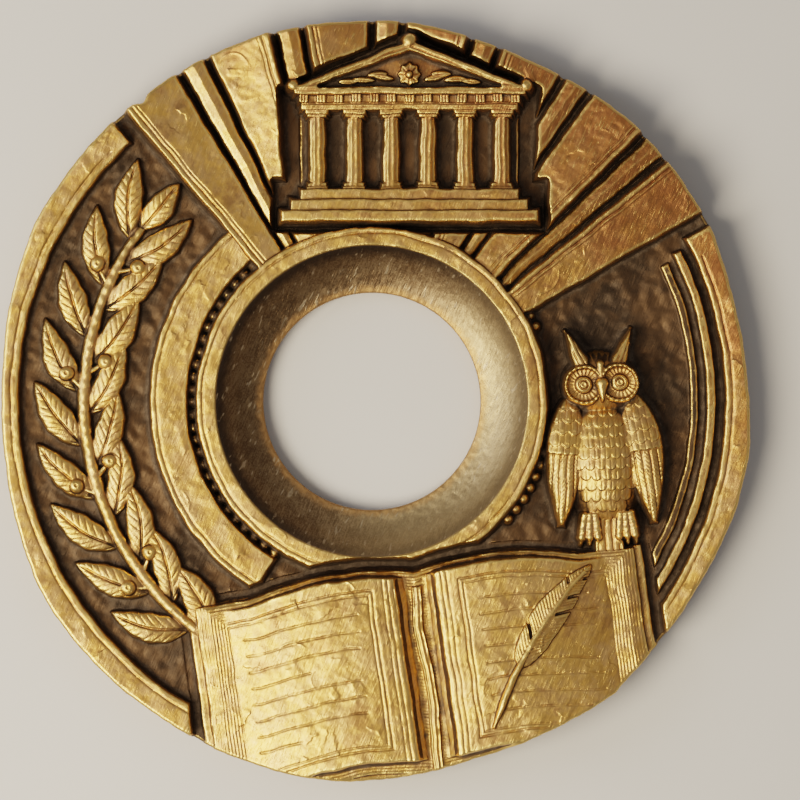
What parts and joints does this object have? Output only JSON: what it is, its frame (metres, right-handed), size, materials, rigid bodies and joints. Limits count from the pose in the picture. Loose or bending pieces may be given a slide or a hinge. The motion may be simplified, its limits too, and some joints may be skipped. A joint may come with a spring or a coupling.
{
  "type": "academic medallion",
  "caption": "Round cast bronze medal with a hole through its middle, a dished mouth and a bold relief of laurel, temple, rays, owl and open book.",
  "frame": {"origin": "centre of the hole on the flat back", "axes": "+Z out of the relief face, +Y towards the relief's top, where the temple is, +X to the right seen from the front"},
  "size_m": [0.0796, 0.0809, 0.0075],
  "materials": {
    "bronze": "cast bronze, polished by wear on the high places, dark brown patina in the recesses"
  },
  "bodies": {
    "root": {"medal": "bronze"}
  },
  "joints": []
}
